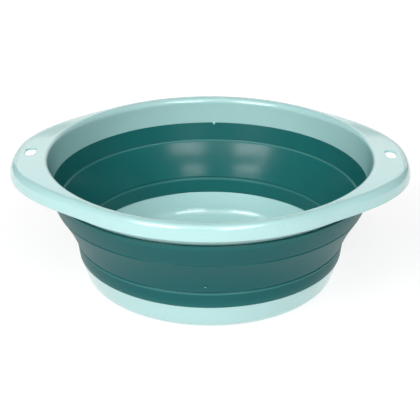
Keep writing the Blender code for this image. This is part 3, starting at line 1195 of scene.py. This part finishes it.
@dataclass
class RimFrame:
    """The rigid rim: tongue, collar, crest, land with two handle wings, rolled edge, skirt and slots."""

    levels: Levels
    plain: RimForm = RimForm(
        collar_lean=math.radians(0.5),
        crest_radius=0.0063,
        land_width=0.0008,
        land_drop=0.0001,
        roll_radius=0.0063,
        depth=0.0161,
    )
    wing: RimForm = RimForm(
        collar_lean=math.radians(8),
        crest_radius=0.0033,
        land_width=0.0243,
        land_drop=0.0016,
        roll_radius=0.0102,
        depth=0.0174,
    )
    collar_height: float = 0.0290
    flange_wall: float = 0.0024
    skirt_flare: float = math.radians(4)
    wing_full_angle: float = math.radians(5)
    wing_end_angle: float = math.radians(51.5)
    slot_width: float = 0.0110
    slot_length: float = 0.0200
    slot_inset: float = 0.0088
    slot_fillet: float = 0.0008
    slot_rings: int = 4
    slot_edge_steps: int = 5
    slot_columns: int = 5
    nick: Dome = Dome(radius=0.0016, height=0.0010, stretch=1.3)
    nick_offset: float = 0.0012
    nick_sink: float = 0.0002
    nick_drop: float = 0.00064
    nick_tilt: float = 0.1
    segments: int = 360
    crest_steps: int = 16
    roll_steps: int = 18
    inside_steps: int = 8
    land_cells: int = 10
    block_cells: int = 8
    collar_cells: int = 10
    skirt_cells: int = 5
    lip_steps: int = 12

    @property
    def top_z(self) -> float:
        """Height of the crest."""
        return self.levels.collar_seam[1] + self.collar_height

    @property
    def slot_x(self) -> float:
        """Distance of a slot's middle from the axis."""
        return self.roll_centre(self.wing)[0] - self.slot_inset

    def form(self, angle: float) -> RimForm:
        """The section's sizes at an angle, which ease from the wings' to the plain rim's.

        Args:
            angle: The angle round the Z axis.

        Returns:
            The sizes there.
        """
        from_x_axis = math.atan2(abs(math.sin(angle)), abs(math.cos(angle)))
        share = (self.wing_end_angle - from_x_axis) / (self.wing_end_angle - self.wing_full_angle)
        share = min(1.0, max(0.0, share))
        return self.plain.towards(self.wing, share * share * (3 - 2 * share))

    def crest_centre(self, form: RimForm) -> Point:
        """Centre of the crest's arc, which is tangent to the collar's inner face.

        Args:
            form: The section's sizes.

        Returns:
            Its radius and height.
        """
        radius, seam_z = self.levels.collar_seam
        height = self.top_z - form.crest_radius
        tangent_z = height + form.crest_radius * math.sin(form.collar_lean)
        tangent_radius = radius + (tangent_z - seam_z) * math.tan(form.collar_lean)
        return tangent_radius + form.crest_radius * math.cos(form.collar_lean), height

    def roll_centre(self, form: RimForm) -> Point:
        """Centre of the rolled edge's arc."""
        return self.crest_centre(form)[0] + form.land_width, self.top_z - form.land_drop - form.roll_radius

    def fall(self, form: RimForm) -> float:
        """The angle at which the land falls from the crest to the roll, as a tangent of both arcs.

        Args:
            form: The section's sizes.

        Returns:
            The angle.
        """
        crest, roll = self.crest_centre(form), self.roll_centre(form)
        across, down = roll[0] - crest[0], crest[1] - roll[1]
        to_tangent = math.acos((form.roll_radius - form.crest_radius) / math.hypot(across, down))
        return to_tangent - math.atan2(across, down)

    def land_z(self, x: float, y: float, depth: float = 0.0) -> float:
        """Height of the land over a point, or of a surface that lies below it.

        Args:
            x: The point's X.
            y: The point's Y.
            depth: How far the surface lies below the land, square to it.

        Returns:
            The height.
        """
        form = self.form(math.atan2(y, x))
        fall, crest = self.fall(form), self.crest_centre(form)
        start = crest[0] + form.crest_radius * math.sin(fall)
        top = crest[1] + form.crest_radius * math.cos(fall)
        return top - (math.hypot(x, y) - start) * math.tan(fall) - depth / math.cos(fall)

    def section(self, angle: float) -> Section:
        """The rim's closed section at an angle, with the same number of points at every angle.

        Args:
            angle: The angle round the Z axis.

        Returns:
            Points from the inner seam over the crest, the land, the roll and the skirt, and back under them.
        """
        form, seam, wall = self.form(angle), self.levels.collar_seam, self.flange_wall
        top_angle, inner_angle = QUARTER - self.fall(form), math.pi - form.collar_lean
        crest_centre, roll_centre, flare = self.crest_centre(form), self.roll_centre(form), self.skirt_flare
        crest = arc(crest_centre, form.crest_radius, inner_angle, top_angle, self.crest_steps)
        crest_inside = arc(crest_centre, form.crest_radius - wall, top_angle, inner_angle, self.inside_steps)
        roll = arc(roll_centre, form.roll_radius, top_angle, flare, self.roll_steps)
        roll_inside = arc(roll_centre, form.roll_radius - wall, flare, top_angle, self.inside_steps)
        lip_z = self.top_z - form.depth + wall / 2
        skirt_length = (roll[-1][1] - lip_z - wall / 2 * math.sin(flare)) / math.cos(flare)
        along = Vector((math.sin(flare), -math.cos(flare))) * skirt_length
        skirt_low, inside_low = tuple(Vector(roll[-1]) + along), tuple(Vector(roll_inside[0]) + along)
        lip_centre = tuple((Vector(skirt_low) + Vector(inside_low)) / 2)
        lip = arc(lip_centre, wall / 2, flare, flare - math.pi, self.lip_steps)
        collar_low = (seam[0] + self.levels.collar_wall_level, seam[1])
        lap = (collar_low[0] + self.levels.lap_shift, self.levels.lap_top)
        tongue_z = seam[1] - self.levels.tongue_height
        high, low = self.levels.rim_tongue(seam[1]), self.levels.rim_tongue(tongue_z)
        return [
            seam,
            *run(seam, crest[0], self.collar_cells),
            *crest,
            *run(crest[-1], roll[0], self.land_cells),
            *roll,
            *run(roll[-1], lip[0], self.skirt_cells),
            *lip,
            *run(lip[-1], roll_inside[0], self.skirt_cells),
            *roll_inside,
            *run(roll_inside[-1], crest_inside[0], self.land_cells),
            *crest_inside,
            *run(crest_inside[-1], lap, self.collar_cells),
            lap,
            collar_low,
            (high[1], seam[1]),
            (low[1], tongue_z),
            (low[0], tongue_z),
            (high[0], seam[1]),
        ]

    def slot_outline(self, share: float) -> tuple[Vector, Vector]:
        """A place on the slot's round-ended outline.

        Args:
            share: How far round the outline it lies, from 0 to 1, starting outermost.

        Returns:
            The place from the slot's middle, and the direction away from the slot there.
        """
        end_radius = self.slot_width / 2
        half = (self.slot_length - self.slot_width) / 2
        bend = math.pi * end_radius
        second, along = divmod(share * 2 * (2 * half + bend), 2 * half + bend)
        angle = min(max(along - half, 0.0), bend) / end_radius
        straight = min(0.0, along - half, half + bend - along)
        sign = -1 if second else 1
        spoke = Vector((math.cos(angle), math.sin(angle))) * sign
        return Vector((0, half + straight)) * sign + spoke * end_radius, spoke

    def block_loop(self, grid: list[Row], middle: int, outermost: int, innermost: int) -> Row:
        """The loop of grid points round the place where a slot goes, starting outermost on the X axis.

        Args:
            grid: The rim's rows of points, one for each angle.
            middle: The row on the X axis.
            outermost: The section's point that bounds the block outside.
            innermost: The one that bounds it inside.

        Returns:
            The points, anticlockwise from above for a slot on the +X side.
        """
        reach = self.slot_columns
        step = 1 if innermost > outermost else -1
        across = list(range(outermost, innermost, step))
        places = [(column, outermost) for column in range(0, reach)]
        places += [(reach, point) for point in across]
        places += [(column, innermost) for column in range(reach, -reach, -1)]
        places += [(-reach, point + step) for point in reversed(across)]
        places += [(column, outermost) for column in range(-reach, 0)]
        return [grid[(middle + column) % self.segments][point] for column, point in places]

    def cut_slot(self, skin: Skin, grid: list[Row], middle: int, top: Block, under: Block) -> None:
        """Fill the two open blocks round a slot, and line the slot.

        Args:
            skin: The mesh in the making.
            grid: The rim's rows of points.
            middle: The row on the X axis at this slot.
            top: First and last section point of the open block on the land, from outside in.
            under: The same for the land's underside.
        """
        sign = 1 if middle == 0 else -1
        upper, lower = self.block_loop(grid, middle, *top), self.block_loop(grid, middle, *under)
        spots = [self.slot_outline(place / len(upper)) for place in range(len(upper))]

        def loop(offset: float, depth: float, drop: float) -> Row:
            """A row round the slot.

            Args:
                offset: How far it lies outside the slot's outline.
                depth: How far its surface lies below the land.
                drop: How far the row lies below that surface.

            Returns:
                The row.
            """
            points = []
            for spot, out in spots:
                flat = (spot + out * offset + Vector((self.slot_x, 0))) * sign
                points.append((flat.x, flat.y, self.land_z(flat.x, flat.y, depth) - drop))
            return skin.row(points)

        def between(outer: Row, offset: float, depth: float) -> list[Row]:
            """Rows from a block's edge in to a row round the slot.

            Args:
                outer: The block's edge.
                offset: How far the last row lies outside the slot's outline.
                depth: How far the surface lies below the land.

            Returns:
                The rows, without the block's edge.
            """
            inner = loop(offset, depth, 0)
            rows = []
            for ring in range(1, self.slot_rings):
                share = ring / self.slot_rings
                flats = [a.co.lerp(b.co, share) for a, b in zip(outer, inner)]
                rows.append(skin.row((f.x, f.y, self.land_z(f.x, f.y, depth)) for f in flats))
            return rows + [inner]

        edge, wall = self.slot_fillet, self.flange_wall
        turns = [QUARTER * step / self.slot_edge_steps for step in range(1, self.slot_edge_steps + 1)]
        bends = [(edge * (1 - math.sin(a)), edge * (1 - math.cos(a))) for a in turns]
        rows = [upper, *between(upper, edge, 0)]
        rows += [loop(offset, 0, drop) for offset, drop in bends]
        rows += [loop(offset, wall, -drop) for offset, drop in reversed(bends)]
        rows += reversed([lower, *between(lower, edge, wall)])
        for first, second in zip(rows, rows[1:]):
            skin.bridge(first, second)

    def build(self) -> bpy.types.Object:
        """Make the rim with its slots and the nick in its seam.

        Returns:
            The rim as an object.
        """
        skin = Skin()
        angles = [FULL_TURN * segment / self.segments for segment in range(self.segments)]
        grid = [
            skin.row((r * math.cos(a), r * math.sin(a), z) for r, z in self.section(a)) for a in angles
        ]
        land_end = self.collar_cells + self.crest_steps + self.land_cells
        skirt_points = 2 * self.skirt_cells + self.lip_steps
        under_start = land_end + self.roll_steps + skirt_points + self.inside_steps
        top = (land_end, land_end - self.block_cells)
        under = (under_start, under_start + self.block_cells)
        half = self.segments // 2
        for segment, row in enumerate(grid):
            following = grid[(segment + 1) % self.segments]
            off_axis = (segment + self.slot_columns) % half
            beside_slot = off_axis < 2 * self.slot_columns
            for point in range(len(row)):
                open_top = top[1] < point <= top[0]
                open_under = under[0] < point <= under[1]
                if not (beside_slot and (open_top or open_under)):
                    skin.face((row[point - 1], row[point], following[point], following[point - 1]))
        for middle in (0, half):
            self.cut_slot(skin, grid, middle, top, under)
        self.add_nick(skin)
        return skin.finish("rim")

    def add_nick(self, skin: Skin) -> None:
        """Add the bit of flash that hangs over the inner seam at the back.

        Args:
            skin: The mesh in the making.
        """
        radius, height = self.levels.collar_seam
        foot = Vector((self.nick_offset, radius - self.nick_sink, height - self.nick_drop))
        skin.dome(foot, Vector((0, -1, self.nick_tilt)).normalized(), self.nick)

    def dress(self, piece: bpy.types.Object, finish: MouldedPlastic) -> None:
        """Give the rim its finish and its body.

        Args:
            piece: The rim.
            finish: The plastic.
        """
        piece.data.materials.append(finish.material())
        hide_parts("rim_frame")
        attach(piece, Body.RIM.value)


# Studio


def aim(item: bpy.types.Object, target: Vector, azimuth: float, elevation: float, distance: float) -> None:
    """Place a lamp or a camera round a point by its angles, facing the point.

    Args:
        item: The lamp or the camera.
        target: The point.
        azimuth: Degrees from the front towards +X.
        elevation: Degrees above level.
        distance: How far away it is.
    """
    a, e = math.radians(azimuth), math.radians(elevation)
    away = Vector((math.sin(a) * math.cos(e), -math.cos(a) * math.cos(e), math.sin(e)))
    item.location = target + away * distance
    item.rotation_euler = (-away).to_track_quat("-Z", "Y").to_euler()


def grey(level: float) -> Triple:
    """A grey of a brightness."""
    return level, level, level


@dataclass(frozen=True)
class Softbox:
    """A rectangular lamp, placed round the basin by its angles and given its brightness."""

    name: str
    azimuth: float
    elevation: float
    width: float
    height: float
    radiance: float
    distance: float = 5.0

    def hang(self, target: Vector) -> None:
        """Make the lamp.

        Args:
            target: The point that it faces.
        """
        lamp = bpy.data.lights.new(self.name, "AREA")
        lamp.shape = "RECTANGLE"
        lamp.size, lamp.size_y = self.width, self.height
        lamp.energy = self.radiance * math.pi * self.width * self.height
        aim(placed(self.name, lamp), target, self.azimuth, self.elevation, self.distance)


@dataclass
class Studio:
    """A floor that looks white, softboxes, a faint sky and the camera of the photographed view."""

    target: Vector = field(default_factory=lambda: Vector((0, 0, 0.0631)))
    camera_azimuth: float = 1.1
    camera_elevation: float = 25.147
    camera_distance: float = 1.23195
    focal_length: float = 100.995
    sensor: float = 36.0
    shift: Span = (-0.0005, 0.0084)
    floor_half: float = 60.0
    floor_sink: float = 0.0001
    floor_tone: float = 0.24
    floor_shade: float = 0.23
    floor_noise: Noise = Noise(2.0)
    floor_noise_share: float = 0.02
    floor_roughness: float = 0.9
    floor_specular: float = 0.1
    near_glow: float = 0.80
    middle_glow: float = 0.89
    far_glow: float = 1.0
    glow_rings: Triple = (0.24, 0.80, 3.0)
    wall_light: float = 0.05
    ceiling_light: float = 0.04
    wall_top: float = math.radians(32)
    ceiling_edge: float = math.radians(48)
    boxes: tuple[Softbox, ...] = (
        Softbox("panel_left_top", -36, 51, 1.80, 0.50, 8.4),
        Softbox("panel_right_top", 25, 51, 2.05, 0.50, 7.2),
        Softbox("panel_left_high", -38, 40.5, 2.20, 0.58, 16.5),
        Softbox("panel_right_high", 23, 41.5, 2.00, 0.52, 14.5),
        Softbox("panel_left_low", -33, 23.5, 1.90, 0.45, 16.5),
        Softbox("panel_right_low", 16, 23.5, 1.50, 0.45, 15.5),
        Softbox("panel_side", -46, 31, 0.50, 0.80, 6.0),
        Softbox("key_over", -10, 62, 3.4, 2.4, 1.45, 3.0),
        Softbox("backdrop_low", 180, 12, 4.4, 0.55, 1.4, 3.2),
        Softbox("backdrop_left", -162, 25, 1.8, 0.7, 1.6, 3.2),
        Softbox("backdrop_right", 162, 25, 1.8, 0.7, 1.6, 3.2),
    )

    def build(self) -> None:
        """Set up floor, light and camera."""
        self.lay_floor()
        self.fill_sky()
        for box in self.boxes:
            box.hang(self.target)
        self.place_camera()
        bpy.context.scene.view_settings.view_transform = "Standard"

    def lay_floor(self) -> None:
        """Lay a matt floor just under the basin's foot, with a faint glow that makes it look white."""
        skin = Skin()
        corners = ((-1, -1), (1, -1), (1, 1), (-1, 1))
        skin.face(skin.row((x * self.floor_half, y * self.floor_half, -self.floor_sink) for x, y in corners))
        floor = skin.finish("floor")
        graph = Graph.finish("floor_paint")
        spot = Spot(graph, graph.place())
        radius = spot.radius
        start, middle, end = self.glow_rings
        glow = graph.mix(radius.ramp(start, middle), grey(self.near_glow), grey(self.middle_glow))
        shade = spot.noise(self.floor_noise) * self.floor_noise_share
        graph.fill(graph.shader, {
            "Base Color": graph.mix(shade, grey(self.floor_tone), grey(self.floor_shade)),
            "Roughness": self.floor_roughness,
            "Specular IOR Level": self.floor_specular,
            "Emission Color": graph.mix(radius.ramp(middle, end), glow, grey(self.far_glow)),
            "Emission Strength": 1.0,
        })
        floor.data.materials.append(graph.owner)

    def fill_sky(self) -> None:
        """Fill the room with faint white light, a little weaker from above."""
        world = bpy.data.worlds.new("studio_room")
        graph = Graph(world, "Background")
        height = graph.split(graph.node("ShaderNodeTexCoord", {}, {}, "Generated"))[2]
        dimmed = height.ramp(math.sin(self.wall_top), math.sin(self.ceiling_edge))
        strength = self.wall_light + (self.ceiling_light - self.wall_light) * dimmed
        graph.fill(graph.shader, {"Color": opaque(grey(1.0)), "Strength": strength})
        bpy.context.scene.world = world

    def place_camera(self) -> None:
        """Place the camera of the photographed view."""
        lens = bpy.data.cameras.new("camera")
        lens.sensor_width = self.sensor
        lens.lens = self.focal_length
        lens.shift_x, lens.shift_y = self.shift
        camera = placed("camera", lens)
        aim(camera, self.target, self.camera_azimuth, self.camera_elevation, self.camera_distance)
        bpy.context.scene.camera = camera


def report(piece: bpy.types.Object) -> None:
    """Log a piece's name and size."""
    size = " x ".join(f"{1000 * side:.1f}" for side in piece.dimensions)
    LOG.info("%s: %d faces, %s mm", piece.name, len(piece.data.polygons), size)


def main() -> None:
    """Build the basin piece by piece, then the studio."""
    logging.basicConfig(level=logging.INFO, format="%(name)s: %(message)s")
    levels = Levels()
    base, wall, rim = BaseBowl(levels), FoldWall(levels), RimFrame(levels)
    plastic = MouldedPlastic(rim.top_z)
    rubber = MouldedRubber((levels.lower_hinge, levels.upper_hinge), wall.gate_tip)
    for part, finish in ((base, plastic), (wall, rubber), (rim, plastic)):
        piece = part.build()
        part.dress(piece, finish)
        report(piece)
    Studio().build()


if __name__ == "__main__":
    main()
